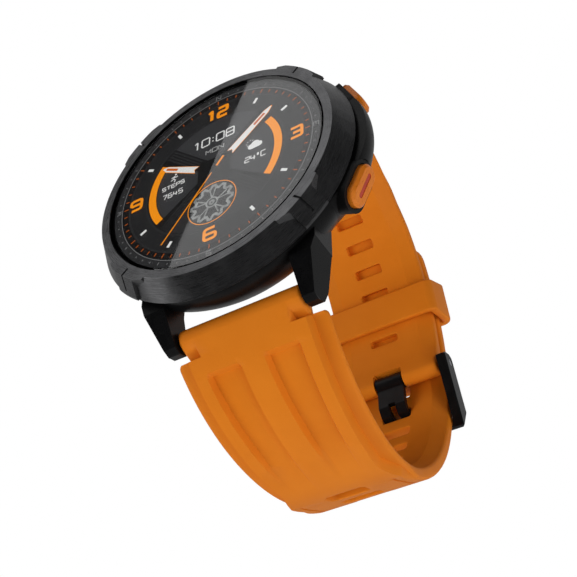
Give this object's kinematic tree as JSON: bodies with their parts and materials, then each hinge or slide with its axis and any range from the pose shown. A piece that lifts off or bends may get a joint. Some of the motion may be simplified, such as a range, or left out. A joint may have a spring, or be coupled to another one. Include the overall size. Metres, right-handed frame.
{
  "type": "gps running watch",
  "caption": "Round sports watch on a buckled silicone strap: brushed bezel, round screen, side buttons, tang buckle, keeper and quick-release spring bars.",
  "frame": {"origin": "centre of the sensor window's outer face, where the watch meets the wrist", "axes": "+Z out of the dial, +Y to 12 o'clock, +X to 3 o'clock, where the buttons are"},
  "size_m": [0.0489, 0.0766, 0.0702],
  "materials": {
    "case_polymer": "black glass-filled polymer, satin",
    "bezel_metal": "dark grey metal, brushed round the ring",
    "cover_glass": "polished, flat",
    "display": "black screen with a round dial picture",
    "sensor_glass": "smoked, polished",
    "seal_rubber": "matte",
    "strap_silicone": "orange silicone, semi-matte",
    "buckle_metal": "black satin coating",
    "button_orange": "orange anodised look, satin",
    "button_red": "red inlay",
    "button_guard": "black",
    "steel": "plain",
    "brass": "gold-plated",
    "board": "green laminate",
    "chip": "black moulding",
    "frame_plastic": "grey moulding",
    "battery_foil": "foil pouch",
    "ribbon": "amber film",
    "led": "clear moulding"
  },
  "bodies": {
    "case": {"case_body": "case_polymer", "case_back": "case_polymer", "case_screws": "steel", "back_gasket": "seal_rubber", "charging_contacts": "brass", "sensor_window": "sensor_glass", "sensor_board": "board", "sensor_leds": "led", "sensor_ribbon": "ribbon", "bezel": "bezel_metal", "bezel_seal": "seal_rubber", "glass": "cover_glass", "glass_gasket": "seal_rubber", "display_panel": "display", "display_frame": "frame_plastic", "display_ribbon": "ribbon", "carrier": "frame_plastic", "battery": "battery_foil", "main_board": "board", "board_chips": "chip", "gps_antenna": "brass", "speaker": "chip", "microphone": "steel", "vibration_motor": "steel", "lug_tips_12": "steel", "button_sleeve_upper": "button_guard", "button_spring_upper": "steel", "button_seal_upper": "seal_rubber", "tact_switch_upper": "chip", "button_sleeve_lower": "button_guard", "button_spring_lower": "steel", "button_seal_lower": "seal_rubber", "tact_switch_lower": "chip"},
    "strap_loop": {"strap_long": "strap_silicone", "strap_short": "strap_silicone", "buckle_pin": "steel", "bar_tube_6": "steel", "bar_tube_12": "steel", "bar_pin_6": "steel", "bar_pin_12": "steel", "bar_spring_6": "steel", "bar_spring_12": "steel"},
    "buckle_frame": {"buckle_frame": "buckle_metal"},
    "buckle_tongue": {"buckle_tongue": "buckle_metal"},
    "keeper": {"keeper": "strap_silicone"},
    "release_lever_6": {"release_lever_6": "steel"},
    "release_lever_12": {"release_lever_12": "steel"},
    "vibration_weight": {"vibration_weight": "steel"},
    "button_upper": {"button_cap_upper": "button_orange", "button_stripe_upper": "button_red", "button_clip_upper": "steel"},
    "button_lower": {"button_cap_lower": "button_orange", "button_stripe_lower": "button_red", "button_clip_lower": "steel"}
  },
  "joints": [
    {"name": "button_upper_press", "type": "slide", "parent": "case", "child": "button_upper", "axis": [-0.9063, -0.4226, 0], "range_m": [0, 0.0007], "stiffness_N_per_m": 300, "springref_m": -0.002, "deforming": ["button_spring_upper"]},
    {"name": "button_lower_press", "type": "slide", "parent": "case", "child": "button_lower", "axis": [-0.9063, 0.4226, 0], "range_m": [0, 0.0007], "stiffness_N_per_m": 300, "springref_m": -0.002, "deforming": ["button_spring_lower"]},
    {"name": "strap_swing", "type": "hinge", "parent": "case", "child": "strap_loop", "pos_m": [0, -0.0242, 0.0022], "axis": [-1, 0, 0], "range_deg": [0, 60]},
    {"name": "buckle_frame_swing", "type": "hinge", "parent": "strap_loop", "child": "buckle_frame", "pos_m": [0, -0.0006, -0.04995], "axis": [1, 0, 0], "range_deg": [-1, 3.5]},
    {"name": "buckle_tongue_swing", "type": "hinge", "parent": "buckle_frame", "child": "buckle_tongue", "pos_m": [0, -0.0006, -0.04995], "axis": [1, 0, 0], "range_deg": [0, 1.5]},
    {"name": "keeper_slide", "type": "slide", "parent": "strap_loop", "child": "keeper", "axis": [0, 0.9561, 0.2929], "range_m": [-0.0015, 0.0015]},
    {"name": "release_lever_6_slide", "type": "slide", "parent": "strap_loop", "child": "release_lever_6", "axis": [-1, 0, 0], "range_m": [0, 0.0015], "stiffness_N_per_m": 200, "springref_m": -0.002, "deforming": ["bar_spring_6"]},
    {"name": "release_lever_12_slide", "type": "slide", "parent": "strap_loop", "child": "release_lever_12", "axis": [-1, 0, 0], "range_m": [0, 0.0015], "stiffness_N_per_m": 200, "springref_m": -0.002, "deforming": ["bar_spring_12"]},
    {"name": "vibration_weight_spin", "type": "hinge", "parent": "case", "child": "vibration_weight", "pos_m": [0.0054, 0.0153, 0.00573], "axis": [1, 0, 0], "continuous": true}
  ]
}
